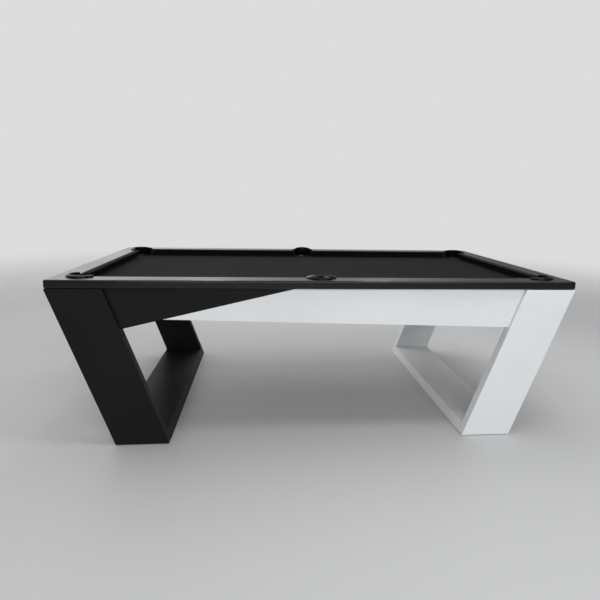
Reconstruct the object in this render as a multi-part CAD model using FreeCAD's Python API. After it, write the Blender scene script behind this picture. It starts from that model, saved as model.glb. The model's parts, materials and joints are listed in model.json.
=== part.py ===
"""Eight-foot slate pool table on two slanted end frames, one black and one white.

Millimetres, +X to the right along the table, +Y to the rear, +Z up. The origin is on the
floor under the middle of the table. The front long side faces -Y.
"""

import FreeCAD
import Part
import math
import os

V = FreeCAD.Vector

# Overall
LENGTH = 2500.0
WIDTH = 1383.0
RAIL_TOP_HEIGHT = 800.0  # floor to the top of the rails

# Rails
RAIL_WIDTH = 100.0
RAIL_THICK = 40.0
RAIL_CORNER_R = 10.0
RAIL_EDGE_R = 8.0
FEATHER_WIDTH = 5.0  # strip that wedges the cushion cloth into the rail
FEATHER_DEPTH = 8.0
FEATHER_SINK = 0.5

# Cushions
CUSHION_DEPTH = 32.5  # wood to nose
NOSE_HEIGHT = 36.5  # playing surface to nose
NOSE_HALF_HEIGHT = 2.0
NOSE_BACK_STEP = 1.5
CUSHION_TOP_DROP = 0.5
CUSHION_HEEL = 8.0  # width of the cushion's foot on the cloth
CUSHION_LIFT = 0.5
CORNER_FACING_TURN = 38.0  # degrees from the nose line to the pocket facing
SIDE_FACING_TURN = 76.0
FACING_THICK = 4.0
FACING_GAP = 1.0  # cushion end to the rim of the pocket cut

# Bed
CLOTH_THICK = 1.0
SLATE_THICK = 25.0
SLATE_COUNT = 3
SLATE_EDGE_GAP = 3.5  # slate to the inner faces of the aprons and posts
SLATE_END_GAP = 4.0  # slate to the slanted end aprons

# Pockets
CORNER_CUT_R = 58.0
CORNER_FLANGE_R = 72.0
CORNER_OFFSET = 6.0  # pocket centre beyond each nose line
CORNER_RIDGE = 12.0  # height of the raised rim above the rail
SIDE_CUT_R = 60.0
SIDE_FLANGE_R = 76.0
SIDE_OFFSET = 19.5
SIDE_RIDGE = 20.0
TRIM_WALL = 4.0
TRIM_RIDGE_WIDTH = 10.0
TRIM_EDGE = 5.0  # height of the outer edge above the rail
TRIM_LIFT = 2.0  # sleeve to the cloth
TRIM_END_ANGLE = 1.5  # degrees left free at each end of the trim

# Drop baskets under the pockets
BASKET_WALL = 3.0
BASKET_DEPTH = 94.0  # below the slate
BASKET_TAPER = 4.0
BASKET_CLEAR = 12.0  # to the end aprons and the support frame
TAB_LENGTH = 22.0
TAB_WIDTH = 24.0
CORNER_TABS = (180, 270)  # turns of the screw tabs about a basket's axis, in degrees
SIDE_TABS = (0, 180)

# End frames
LEG_WIDTH = 250.0
LEG_THICK = 50.0
LEG_SLANT = 272.0  # shift of a leg from the rail to the floor
LEG_GAP = 0.5  # between legs and rails
LEG_EDGE_R = 2.0
FLOOR_GAP = 3.0
FOOT_BEAM_THICK = 46.0
TENON_LENGTH = 20.0
TENON_SHOULDER = 50.0
TENON_THICK = 20.0

# Aprons
APRON_RECESS = 20.0  # behind the faces of the legs
APRON_DEPTH = 192.0  # below the rails, at the legs
APRON_TIP_DEPTH = 147.0  # below the rails, at the tip of the white board
WEDGE_END = 123.0  # from the middle of the table to the point of the black board
BOARD_JOINT = 0.5
END_APRON_RECESS = 15.0
END_APRON_THICK = 22.0

# Support frame under the slate
BEAM_DEPTH = 110.0
TOP_BEAM_WIDTH = 60.0
LONG_BEAM_WIDTH = 50.0
CROSS_BEAM_WIDTH = 80.0
CROSS_BEAM_DEPTH = 55.0
BRACKET_LEG = 60.0
BRACKET_HEIGHT = 80.0
BRACKET_THICK = 5.0
BRACKET_BOLT_OUT = 38.0
BRACKET_BOLT_RISE = 20.0
PLATE_THICK = 4.0
PLATE_INSET = 20.0  # corner plate to the outer faces of the rails
PLATE_ARM_WIDTH = 26.0
PLATE_MARGIN = 10.0

# Fasteners
FRAME_BOLT_R = 4.0
FRAME_BOLT_LENGTH = 30.0
FRAME_BOLT_HEAD = 13.0
FRAME_BOLT_HEAD_HEIGHT = 5.5
RAIL_BOLT_R = 5.0
RAIL_BOLT_LENGTH = 53.0
RAIL_BOLT_HOLE_R = 8.0
RAIL_BOLT_HEAD = 17.0
RAIL_BOLT_HEAD_HEIGHT = 6.5
RAIL_BOLT_WASHER_R = 14.0
RAIL_BOLT_WASHER = 2.0
RAIL_BOLT_INSET = 120.0  # from the rim of a side pocket
RAIL_BOLT_BEAM_GAP = 50.0
END_BOLT_SPACING = 360.0
SLATE_SCREW_R = 3.0
SLATE_SCREW_HEAD_R = 7.0
SLATE_SCREW_HEAD_HEIGHT = 4.0
SLATE_SCREW_SINK = 2.0
SLATE_SCREW_GRIP = 30.0
SLATE_SCREW_Y = 300.0
SLATE_SCREW_EDGE = 20.0
BASKET_SCREW_R = 2.5
BASKET_SCREW_HEAD_R = 5.0
BASKET_SCREW_HEAD_HEIGHT = 3.0
BASKET_SCREW_GRIP = 15.0

# Levelling feet
PAD_R = 30.0
PAD_THICK = 6.0
PAD_EDGE = 1.5
PAD_SEAT_DEPTH = 3.0
FOOT_INSET_Y = 80.0  # pad centre to the inner face of a post
STEM_R = 6.0
STEM_PIN_R = 5.0
STEM_HEX = 19.0
STEM_HEX_HEIGHT = 6.0
STEM_LENGTH = 30.0
STEM_TOP_ROOM = 3.0
RUN_CLEAR = 0.06  # radial clearance of a turning fit
FACE_CLEAR = 0.3
RECESS_CLEAR = 3.0
RECESS_HEADROOM = 1.7
INSERT_WALL = 3.0

# Values that follow from the ones above
HALF_L = LENGTH / 2
HALF_W = WIDTH / 2
RAIL_BOTTOM = RAIL_TOP_HEIGHT - RAIL_THICK
SLATE_TOP = RAIL_BOTTOM - CLOTH_THICK
SLATE_BOTTOM = SLATE_TOP - SLATE_THICK
RAIL_INNER_X = HALF_L - RAIL_WIDTH
RAIL_INNER_Y = HALF_W - RAIL_WIDTH
NOSE_X = RAIL_INNER_X - CUSHION_DEPTH
NOSE_Y = RAIL_INNER_Y - CUSHION_DEPTH
CORNER_X = NOSE_X + CORNER_OFFSET
CORNER_Y = NOSE_Y + CORNER_OFFSET
SIDE_Y = NOSE_Y + SIDE_OFFSET
LEG_TOP = RAIL_BOTTOM - LEG_GAP
LEG_INNER_Y = HALF_W - LEG_THICK
APRON_OUTER_Y = HALF_W - APRON_RECESS
APRON_BOTTOM = RAIL_BOTTOM - APRON_DEPTH
SLATE_HALF_W = LEG_INNER_Y - SLATE_EDGE_GAP
NOTCH_REACH = 2 * RAIL_WIDTH  # takes a corner notch past the slate's corner
BEAM_BOTTOM = SLATE_BOTTOM - BEAM_DEPTH
BEAM_MIDDLE = (SLATE_BOTTOM + BEAM_BOTTOM) / 2
CROSS_BEAM_BOTTOM = SLATE_BOTTOM - CROSS_BEAM_DEPTH
LONG_BEAM_OUTER = SIDE_Y - SIDE_CUT_R - BASKET_CLEAR
LONG_BEAM_INNER = LONG_BEAM_OUTER - LONG_BEAM_WIDTH
FOOT_BEAM_TOP = FLOOR_GAP + FOOT_BEAM_THICK
BASKET_BOTTOM = SLATE_BOTTOM - BASKET_DEPTH
BASKET_FOOT_R = CORNER_CUT_R - BASKET_TAPER

CORNERS = {
    "front_left": (-1, -1),
    "front_right": (1, -1),
    "rear_left": (-1, 1),
    "rear_right": (1, 1),
}
ENDS = {"left": -1, "right": 1}
SIDES = {"front": -1, "rear": 1}


def leg_outer(z):
    """X of the outer edge of the right leg at height z."""
    return HALF_L - LEG_SLANT * (LEG_TOP - z) / LEG_TOP


def leg_inner(z):
    """X of the inner edge of the right leg at height z."""
    return leg_outer(z) - LEG_WIDTH


def end_apron_inner(z):
    """X of the inner face of the right end apron at height z."""
    return leg_outer(z) - END_APRON_RECESS - END_APRON_THICK


def end_apron_height(x):
    """Height where the inner face of the right end apron is at x."""
    return LEG_TOP - (end_apron_inner(LEG_TOP) - x) * LEG_TOP / LEG_SLANT


# A corner basket runs straight down to its knee, then leans in to keep clear of the end apron.
BASKET_KNEE = end_apron_height(CORNER_X + CORNER_CUT_R + BASKET_CLEAR)
BASKET_FOOT_X = end_apron_inner(BASKET_BOTTOM) - BASKET_CLEAR - BASKET_FOOT_R
CORNER_LEAN = CORNER_X - BASKET_FOOT_X
TOP_BEAM_OUTER = BASKET_FOOT_X - BASKET_FOOT_R - BASKET_CLEAR
TOP_BEAM_INNER = TOP_BEAM_OUTER - TOP_BEAM_WIDTH
SLATE_HALF_L = end_apron_inner(SLATE_BOTTOM) - SLATE_END_GAP
SLATE_LENGTH = 2 * SLATE_HALF_L / SLATE_COUNT
FOOT_X = (leg_outer(FLOOR_GAP) + leg_inner(FLOOR_GAP)) / 2
FOOT_Y = LEG_INNER_Y - FOOT_INSET_Y
STEM_BOTTOM = PAD_THICK + FACE_CLEAR
STEM_SHANK = STEM_BOTTOM + STEM_HEX_HEIGHT
STEM_TOP = STEM_SHANK + STEM_LENGTH
RECESS_TOP = STEM_SHANK + RECESS_HEADROOM


def box(x0, x1, y0, y1, z0, z1):
    """A block between two X, two Y and two Z values, given in any order."""
    low = V(min(x0, x1), min(y0, y1), min(z0, z1))
    return Part.makeBox(abs(x1 - x0), abs(y1 - y0), abs(z1 - z0), low)


def cylinder(radius, x, y, z0, z1):
    return Part.makeCylinder(radius, z1 - z0, V(x, y, z0))


def prism(points, along):
    """A solid from a closed outline of points, pushed along a vector."""
    return Part.Face(Part.makePolygon(points + points[:1])).extrude(along)


def plan_prism(outline, z0, z1):
    return prism([V(x, y, z0) for x, y in outline], V(0, 0, z1 - z0))


def side_prism(outline, y0, y1):
    return prism([V(x, y0, z) for x, z in outline], V(0, y1 - y0, 0))


def mirrored(shape, sign_x, sign_y):
    """A shape made at +X and +Y, moved to the quadrant with the given signs."""
    if sign_x < 0:
        shape = shape.mirror(V(0, 0, 0), V(1, 0, 0))
    if sign_y < 0:
        shape = shape.mirror(V(0, 0, 0), V(0, 1, 0))
    return shape


def hex_prism(width, height):
    """A hexagonal block on the origin, width across its flats."""
    corner = width / math.sqrt(3)
    turns = [math.radians(60 * k) for k in range(6)]
    return plan_prism([(corner * math.cos(a), corner * math.sin(a)) for a in turns], 0, height)


def hex_bolt(seat, direction, radius, length, head, head_height):
    """A bolt whose head rests at seat and whose shank points along direction."""
    under = hex_prism(head, head_height)
    under.translate(V(0, 0, -head_height))
    bolt = under.fuse(Part.makeCylinder(radius, length))
    turn = FreeCAD.Rotation(V(0, 0, 1), direction)
    return bolt.transformShape(FreeCAD.Placement(seat, turn).toMatrix(), True)


def fused(shapes):
    return shapes[0].fuse(shapes[1:]).removeSplitter()


def pocket_cuts(radius_change, z0, z1):
    """One cylinder at each of the six pockets."""
    cuts = []
    for sign_x, sign_y in CORNERS.values():
        radius = CORNER_CUT_R + radius_change
        cuts.append(cylinder(radius, sign_x * CORNER_X, sign_y * CORNER_Y, z0, z1))
    for sign_y in SIDES.values():
        cuts.append(cylinder(SIDE_CUT_R + radius_change, 0, sign_y * SIDE_Y, z0, z1))
    return cuts


# ---------------------------------------------------------------- bed


def slate_notches():
    """The six pocket notches, each a round end with straight sides out to the slate's edge."""
    z0, z1 = SLATE_BOTTOM - 1, RAIL_BOTTOM + 1
    notches = pocket_cuts(0, z0, z1)
    for sign_x, sign_y in CORNERS.values():
        way_out = box(0, NOTCH_REACH, -CORNER_CUT_R, CORNER_CUT_R, z0, z1)
        way_out.rotate(V(0, 0, 0), V(0, 0, 1), math.degrees(math.atan2(sign_y, sign_x)))
        way_out.translate(V(sign_x * CORNER_X, sign_y * CORNER_Y, 0))
        notches.append(way_out)
    for sign_y in SIDES.values():
        y_out = sign_y * HALF_W
        notches.append(box(-SIDE_CUT_R, SIDE_CUT_R, sign_y * SIDE_Y, y_out, z0, z1))
    return notches


def rail_bolt_places():
    """Plan positions of the bolts of one quadrant's side rail, and of the right end rail."""
    first = SIDE_CUT_R + RAIL_BOLT_INSET
    last = TOP_BEAM_INNER - RAIL_BOLT_BEAM_GAP
    bolt_y = (RAIL_INNER_Y + SLATE_HALF_W) / 2
    bolt_x = (RAIL_INNER_X + SLATE_HALF_L) / 2
    side = [(first, bolt_y), ((first + last) / 2, bolt_y), (last, bolt_y)]
    end = [(bolt_x, y) for y in (-END_BOLT_SPACING, 0, END_BOLT_SPACING)]
    return side, end


def all_rail_bolt_places():
    side, end = rail_bolt_places()
    places = [(sx * x, sy * y) for sx, sy in CORNERS.values() for x, y in side]
    return places + [(sx * x, y) for sx in ENDS.values() for x, y in end]


def rail_bolts():
    bolts = []
    for x, y in all_rail_bolt_places():
        seat = V(x, y, SLATE_BOTTOM - RAIL_BOLT_WASHER)
        bolt = hex_bolt(seat, V(0, 0, 1), RAIL_BOLT_R, RAIL_BOLT_LENGTH, RAIL_BOLT_HEAD,
                        RAIL_BOLT_HEAD_HEIGHT)
        washer = cylinder(RAIL_BOLT_WASHER_R, x, y, seat.z, SLATE_BOTTOM)
        bolts.append(fused([bolt, washer]))
    return bolts


def rail_bolt_holes():
    z0, z1 = SLATE_BOTTOM - 1, RAIL_BOTTOM
    return [cylinder(RAIL_BOLT_HOLE_R, x, y, z0, z1) for x, y in all_rail_bolt_places()]


def slate_screw_places():
    """Screws near both ends of each slate, into the beam under that end."""
    joint = SLATE_LENGTH / 2
    top_beam = (TOP_BEAM_OUTER + TOP_BEAM_INNER) / 2
    columns = [joint - SLATE_SCREW_EDGE, joint + SLATE_SCREW_EDGE, top_beam]
    rows = (-SLATE_SCREW_Y, SLATE_SCREW_Y)
    return [(sx * x, y) for sx in ENDS.values() for x in columns for y in rows]


def slate_screws():
    screws = []
    head_top = SLATE_TOP - SLATE_SCREW_SINK
    for x, y in slate_screw_places():
        head = cylinder(SLATE_SCREW_HEAD_R, x, y, head_top - SLATE_SCREW_HEAD_HEIGHT, head_top)
        shank = cylinder(SLATE_SCREW_R, x, y, SLATE_BOTTOM - SLATE_SCREW_GRIP, head_top)
        screws.append(fused([head, shank]))
    return screws


def slate_screw_recesses():
    z0 = SLATE_TOP - SLATE_SCREW_SINK - SLATE_SCREW_HEAD_HEIGHT
    places = slate_screw_places()
    return [cylinder(SLATE_SCREW_HEAD_R, x, y, z0, SLATE_TOP) for x, y in places]


def slates():
    """The slates from left to right, cut for the pockets, the fasteners and the baskets."""
    holes = Part.makeCompound(
        slate_notches() + rail_bolt_holes() + slate_screws() + slate_screw_recesses()
        + basket_screws() + corner_pots()
    )
    made = []
    for k in range(SLATE_COUNT):
        x0 = -SLATE_HALF_L + k * SLATE_LENGTH
        blank = box(x0, x0 + SLATE_LENGTH, -SLATE_HALF_W, SLATE_HALF_W, SLATE_BOTTOM, SLATE_TOP)
        made.append(blank.cut(holes))
    return made


def bed_cloth():
    """The cloth over all the slates, cut out at the pockets and where the rail bolts pass."""
    sheet = box(-SLATE_HALF_L, SLATE_HALF_L, -SLATE_HALF_W, SLATE_HALF_W, SLATE_TOP, RAIL_BOTTOM)
    return sheet.cut(Part.makeCompound(slate_notches() + rail_bolt_holes()))


# ---------------------------------------------------------------- rails and cushions


def rail_ring():
    """All the rail wood in one rounded ring, before it is divided into rails."""
    slab = box(-HALF_L, HALF_L, -HALF_W, HALF_W, RAIL_BOTTOM, RAIL_TOP_HEIGHT)
    uprights = [e for e in slab.Edges if e.BoundBox.ZLength > RAIL_THICK / 2]
    slab = slab.makeFillet(RAIL_CORNER_R, uprights)
    rims = [e for e in slab.Edges if e.BoundBox.ZLength < RAIL_THICK / 2]
    slab = slab.makeFillet(RAIL_EDGE_R, rims)
    opening = box(-RAIL_INNER_X, RAIL_INNER_X, -RAIL_INNER_Y, RAIL_INNER_Y, RAIL_BOTTOM - 1,
                  RAIL_TOP_HEIGHT + 1)
    wide_x = RAIL_INNER_X + FEATHER_WIDTH
    wide_y = RAIL_INNER_Y + FEATHER_WIDTH
    rebate = box(-wide_x, wide_x, -wide_y, wide_y, RAIL_TOP_HEIGHT - FEATHER_DEPTH,
                 RAIL_TOP_HEIGHT + 1)
    return slab.cut([opening, rebate] + pocket_cuts(0, RAIL_BOTTOM - 1, RAIL_TOP_HEIGHT + 1))


def side_rail(ring, sign_x, sign_y):
    """Half of a long side, from the corner mitre to the middle of the side pocket."""
    outline = [
        (0, HALF_W),
        (HALF_L, HALF_W),
        (RAIL_INNER_X, RAIL_INNER_Y),
        (0, RAIL_INNER_Y),
    ]
    sector = plan_prism(outline, RAIL_BOTTOM, RAIL_TOP_HEIGHT)
    return ring.common(mirrored(sector, sign_x, sign_y))


def end_rail(ring, sign_x):
    outline = [
        (HALF_L, -HALF_W),
        (HALF_L, HALF_W),
        (RAIL_INNER_X, RAIL_INNER_Y),
        (RAIL_INNER_X, -RAIL_INNER_Y),
    ]
    sector = plan_prism(outline, RAIL_BOTTOM, RAIL_TOP_HEIGHT)
    return ring.common(mirrored(sector, sign_x, 1))


def cushion_face(place):
    """The cushion's section; place turns a depth from the nose and a height into a point."""
    base = RAIL_BOTTOM + CUSHION_LIFT
    nose = RAIL_BOTTOM + NOSE_HEIGHT
    top = RAIL_TOP_HEIGHT - CUSHION_TOP_DROP
    heel = place(CUSHION_DEPTH, base)
    toe = place(CUSHION_DEPTH - CUSHION_HEEL, base)
    under = place(NOSE_BACK_STEP, nose - NOSE_HALF_HEIGHT)
    tip = place(0, nose)
    over = place(NOSE_BACK_STEP, nose + NOSE_HALF_HEIGHT)
    back = place(CUSHION_DEPTH, top)
    edges = [
        Part.makeLine(heel, toe),
        Part.makeLine(toe, under),
        Part.Arc(under, tip, over).toShape(),
        Part.makeLine(over, back),
        Part.makeLine(back, heel),
    ]
    return Part.Face(Part.Wire(edges))


def pocket_reach(cut_r, offset):
    """From a pocket's centre to where its cut meets the wood's inner face, along the rail."""
    return math.sqrt(cut_r ** 2 - (CUSHION_DEPTH - offset) ** 2)


def cushion_ends():
    """Where the cushion backs end: at a corner along X, at a corner along Y, at a side pocket."""
    corner = pocket_reach(CORNER_CUT_R, CORNER_OFFSET) + FACING_GAP
    side = pocket_reach(SIDE_CUT_R, SIDE_OFFSET) + FACING_GAP
    return CORNER_X - corner, CORNER_Y - corner, side


def end_step(turn):
    """How far the nose ends short of the back, for a facing that turns by this angle."""
    return CUSHION_DEPTH / math.tan(math.radians(turn))


def side_outline(trim):
    """Plan of the rear right cushion, shortened by trim at both ends."""
    corner_back, _, side_back = cushion_ends()
    corner_nose = corner_back - end_step(CORNER_FACING_TURN)
    side_nose = side_back + end_step(SIDE_FACING_TURN)
    return [
        (side_nose + trim, NOSE_Y),
        (corner_nose - trim, NOSE_Y),
        (corner_back - trim, RAIL_INNER_Y),
        (side_back + trim, RAIL_INNER_Y),
    ]


def end_outline(trim):
    """Plan of the right end cushion, shortened by trim at both ends."""
    _, back, _ = cushion_ends()
    nose = back - end_step(CORNER_FACING_TURN)
    return [
        (NOSE_X, -nose + trim),
        (NOSE_X, nose - trim),
        (RAIL_INNER_X, back - trim),
        (RAIL_INNER_X, -back + trim),
    ]


def side_bar(outline):
    """The rear right cushion section over a plan outline."""
    face = cushion_face(lambda depth, z: V(0, NOSE_Y + depth, z))
    bar = face.extrude(V(HALF_L, 0, 0))
    return bar.common(plan_prism(outline, RAIL_BOTTOM, RAIL_TOP_HEIGHT))


def end_bar(outline):
    """The right end cushion section over a plan outline."""
    face = cushion_face(lambda depth, z: V(NOSE_X + depth, -HALF_W, z))
    bar = face.extrude(V(0, WIDTH, 0))
    return bar.common(plan_prism(outline, RAIL_BOTTOM, RAIL_TOP_HEIGHT))


def facings():
    """The thin rubber pads on both ends of every cushion."""
    side_pads = side_bar(side_outline(0)).cut(side_bar(side_outline(FACING_THICK))).Solids
    end_pads = end_bar(end_outline(0)).cut(end_bar(end_outline(FACING_THICK))).Solids
    pads = [mirrored(pad, sx, sy) for sx, sy in CORNERS.values() for pad in side_pads]
    return pads + [mirrored(pad, sx, 1) for sx in ENDS.values() for pad in end_pads]


def feather_strips():
    """Strips in the rebates along the rails' inner edges."""
    z0 = RAIL_TOP_HEIGHT - FEATHER_DEPTH
    z1 = RAIL_TOP_HEIGHT - FEATHER_SINK
    cuts = pocket_cuts(0, z0 - 1, z1 + 1)
    side = box(0, RAIL_INNER_X, RAIL_INNER_Y, RAIL_INNER_Y + FEATHER_WIDTH, z0, z1)
    end = box(RAIL_INNER_X, RAIL_INNER_X + FEATHER_WIDTH, -RAIL_INNER_Y, RAIL_INNER_Y, z0, z1)
    strips = [mirrored(side, sx, sy).cut(cuts) for sx, sy in CORNERS.values()]
    return strips + [mirrored(end, sx, 1).cut(cuts) for sx in ENDS.values()]


# ---------------------------------------------------------------- pockets


def trim_face(cut_r, flange_r, ridge):
    """Section of a pocket trim: a sleeve in the wood under a round lip sloping out over it."""
    inner = cut_r - TRIM_WALL
    bottom = RAIL_BOTTOM + TRIM_LIFT
    crown = RAIL_TOP_HEIGHT + ridge
    half = TRIM_RIDGE_WIDTH / 2
    shoulder = V(inner, 0, crown - half)
    far_shoulder = V(inner + TRIM_RIDGE_WIDTH, 0, crown - half)
    outline = [
        far_shoulder,
        V(flange_r, 0, RAIL_TOP_HEIGHT + TRIM_EDGE),
        V(flange_r, 0, RAIL_TOP_HEIGHT),
        V(cut_r, 0, RAIL_TOP_HEIGHT),
        V(cut_r, 0, bottom),
        V(inner, 0, bottom),
        shoulder,
    ]
    round_top = Part.Arc(shoulder, V(inner + half, 0, crown), far_shoulder).toShape()
    return Part.Face(Part.Wire([round_top] + Part.makePolygon(outline).Edges))


def pocket_trim(x, y, facing, opening, cut_r, flange_r, ridge):
    """A trim open toward the bed: facing is the way out from the bed, opening its free angle."""
    sweep = 360 - opening - 2 * TRIM_END_ANGLE
    trim = trim_face(cut_r, flange_r, ridge).revolve(V(0, 0, 0), V(0, 0, 1), sweep)
    trim.rotate(V(0, 0, 0), V(0, 0, 1), facing - sweep / 2)
    trim.translate(V(x, y, 0))
    return trim


def corner_trim(sign_x, sign_y):
    wood = math.degrees(math.acos((CUSHION_DEPTH - CORNER_OFFSET) / CORNER_CUT_R))
    opening = 270 - 2 * wood
    facing = math.degrees(math.atan2(sign_y, sign_x))
    return pocket_trim(sign_x * CORNER_X, sign_y * CORNER_Y, facing, opening, CORNER_CUT_R,
                       CORNER_FLANGE_R, CORNER_RIDGE)


def side_trim(sign_y):
    wood = math.degrees(math.asin((CUSHION_DEPTH - SIDE_OFFSET) / SIDE_CUT_R))
    return pocket_trim(0, sign_y * SIDE_Y, 90 * sign_y, 180 + 2 * wood, SIDE_CUT_R,
                       SIDE_FLANGE_R, SIDE_RIDGE)


def basket_body(radius, lean, bottom):
    """A round pot from the top of the slate down, its lower part leaning to -X."""
    neck = cylinder(radius, 0, 0, BASKET_KNEE, SLATE_TOP)
    upper = Part.Wire(Part.makeCircle(radius, V(0, 0, BASKET_KNEE)))
    lower = Part.Wire(Part.makeCircle(radius - BASKET_TAPER, V(-lean, 0, bottom)))
    return fused([neck, Part.makeLoft([upper, lower], True)])


def basket(cut_r, lean, tab_turns):
    """A drop basket on the origin, with a screw tab under the slate at each turn."""
    outside = basket_body(cut_r, lean, BASKET_BOTTOM)
    tabs = []
    for turn in tab_turns:
        tab = box(cut_r - BASKET_WALL, cut_r + TAB_LENGTH, -TAB_WIDTH / 2, TAB_WIDTH / 2,
                  SLATE_BOTTOM - BASKET_WALL, SLATE_BOTTOM)
        tab.rotate(V(0, 0, 0), V(0, 0, 1), turn)
        tabs.append(tab)
    inside = basket_body(cut_r - BASKET_WALL, lean, BASKET_BOTTOM + BASKET_WALL)
    return fused([outside] + tabs).cut(inside)


def corner_pots():
    """The outer shapes of the corner baskets, which the slates make room for."""
    pot = basket_body(CORNER_CUT_R, CORNER_LEAN, BASKET_BOTTOM)
    pot.translate(V(CORNER_X, CORNER_Y, 0))
    return [mirrored(pot, sx, sy) for sx, sy in CORNERS.values()]


def corner_basket(sign_x, sign_y):
    tabbed = basket(CORNER_CUT_R, CORNER_LEAN, CORNER_TABS)
    made = tabbed.cut(tab_holes(CORNER_CUT_R, CORNER_TABS))
    made.translate(V(CORNER_X, CORNER_Y, 0))
    return mirrored(made, sign_x, sign_y)


def side_basket(sign_y):
    made = basket(SIDE_CUT_R, 0, SIDE_TABS).cut(tab_holes(SIDE_CUT_R, SIDE_TABS))
    made.translate(V(0, SIDE_Y, 0))
    return mirrored(made, 1, sign_y)


def tab_screw_places(cut_r, turns):
    """Screw centres about a basket's own axis."""
    out = cut_r + TAB_LENGTH / 2
    return [(out * math.cos(math.radians(t)), out * math.sin(math.radians(t))) for t in turns]


def tab_holes(cut_r, turns):
    z0 = SLATE_BOTTOM - BASKET_WALL - 1
    places = tab_screw_places(cut_r, turns)
    return [cylinder(BASKET_SCREW_R, x, y, z0, SLATE_BOTTOM + 1) for x, y in places]


def basket_screws():
    places = []
    for x, y in tab_screw_places(CORNER_CUT_R, CORNER_TABS):
        places += [(sx * (CORNER_X + x), sy * (CORNER_Y + y)) for sx, sy in CORNERS.values()]
    for x, y in tab_screw_places(SIDE_CUT_R, SIDE_TABS):
        places += [(x, sy * (SIDE_Y + y)) for sy in SIDES.values()]
    seat = SLATE_BOTTOM - BASKET_WALL
    screws = []
    for x, y in places:
        head = cylinder(BASKET_SCREW_HEAD_R, x, y, seat - BASKET_SCREW_HEAD_HEIGHT, seat)
        shank = cylinder(BASKET_SCREW_R, x, y, seat, SLATE_BOTTOM + BASKET_SCREW_GRIP)
        screws.append(fused([head, shank]))
    return screws


# ---------------------------------------------------------------- end frames


def slanted_outline(inset, z0, z1):
    """The leg's slanted outline in XZ between two heights, narrowed by inset on each side."""
    return [
        (leg_outer(z1) - inset, z1),
        (leg_inner(z1) + inset, z1),
        (leg_inner(z0) + inset, z0),
        (leg_outer(z0) - inset, z0),
    ]


def tenon():
    """The tenon of the right foot beam in the rear post."""
    middle = (FLOOR_GAP + FOOT_BEAM_TOP) / 2
    outline = slanted_outline(TENON_SHOULDER, middle - TENON_THICK / 2, middle + TENON_THICK / 2)
    return side_prism(outline, LEG_INNER_Y, LEG_INNER_Y + TENON_LENGTH)


def post(sign_x, sign_y, bolts):
    blank = side_prism(slanted_outline(0, FLOOR_GAP, LEG_TOP), LEG_INNER_Y, HALF_W)
    blank = blank.makeFillet(LEG_EDGE_R, blank.Edges)
    return mirrored(blank.cut(tenon()), sign_x, sign_y).cut(bolts + corner_plates())


def foot_beam(sign_x):
    """The beam on the floor between two posts, with tenons and room for two levelling feet."""
    middle = side_prism(slanted_outline(0, FLOOR_GAP, FOOT_BEAM_TOP), -LEG_INNER_Y, LEG_INNER_Y)
    beam = fused([middle, tenon(), mirrored(tenon(), 1, -1)])
    insert_top = STEM_TOP + STEM_TOP_ROOM
    for sign_y in SIDES.values():
        y = sign_y * FOOT_Y
        recess = cylinder(PAD_R + RECESS_CLEAR, FOOT_X, y, FLOOR_GAP - 1, RECESS_TOP)
        hole = cylinder(STEM_R + RUN_CLEAR + INSERT_WALL, FOOT_X, y, RECESS_TOP - 1, insert_top)
        beam = beam.cut([recess, hole])
    return mirrored(beam, sign_x, 1)


def top_beam(sign_x, bolts):
    beam = box(TOP_BEAM_INNER, TOP_BEAM_OUTER, -LEG_INNER_Y, LEG_INNER_Y, BEAM_BOTTOM,
               SLATE_BOTTOM)
    return mirrored(beam, sign_x, 1).cut(bolts)


def levelling_inserts():
    """Threaded sleeves pressed into the foot beams."""
    inner_r = STEM_R + RUN_CLEAR
    sleeves = []
    for sign_x, sign_y in CORNERS.values():
        x, y = sign_x * FOOT_X, sign_y * FOOT_Y
        outer = cylinder(inner_r + INSERT_WALL, x, y, RECESS_TOP, STEM_TOP)
        sleeves.append(outer.cut(cylinder(inner_r, x, y, RECESS_TOP - 1, STEM_TOP + 1)))
    return sleeves


def foot_pad(x, y):
    """The round pad of a levelling foot, with a blind seat for the stem's pin."""
    pad = cylinder(PAD_R, x, y, 0, PAD_THICK)
    rims = [e for e in pad.Edges if e.BoundBox.ZLength < PAD_EDGE]
    pad = pad.makeChamfer(PAD_EDGE, rims)
    seat = cylinder(STEM_PIN_R + RUN_CLEAR, x, y, PAD_THICK - PAD_SEAT_DEPTH, PAD_THICK + 1)
    return pad.cut(seat)


def foot_stem(x, y):
    """The screw of a levelling foot: a pin in the pad, a spanner hexagon and the shank."""
    pin = cylinder(STEM_PIN_R, x, y, PAD_THICK - PAD_SEAT_DEPTH + FACE_CLEAR, STEM_BOTTOM)
    nut = hex_prism(STEM_HEX, STEM_HEX_HEIGHT)
    nut.translate(V(x, y, STEM_BOTTOM))
    shank = cylinder(STEM_R, x, y, STEM_SHANK, STEM_TOP)
    return fused([pin, nut, shank])


# ---------------------------------------------------------------- aprons


def wedge_bottom_x(depth):
    """X, on the left half, where the black board's lower edge is this far below the rails."""
    at_leg = -leg_inner(APRON_BOTTOM)
    return -WEDGE_END + (at_leg + WEDGE_END) * depth / APRON_DEPTH


def black_apron(sign_y):
    """The wedge of board from the left leg to its point under the rail."""
    outline = [
        (-leg_inner(RAIL_BOTTOM) + BOARD_JOINT, RAIL_BOTTOM),
        (-WEDGE_END, RAIL_BOTTOM),
        (-leg_inner(APRON_BOTTOM) + BOARD_JOINT, APRON_BOTTOM),
    ]
    return mirrored(side_prism(outline, LEG_INNER_Y, APRON_OUTER_Y), 1, sign_y)


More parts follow.
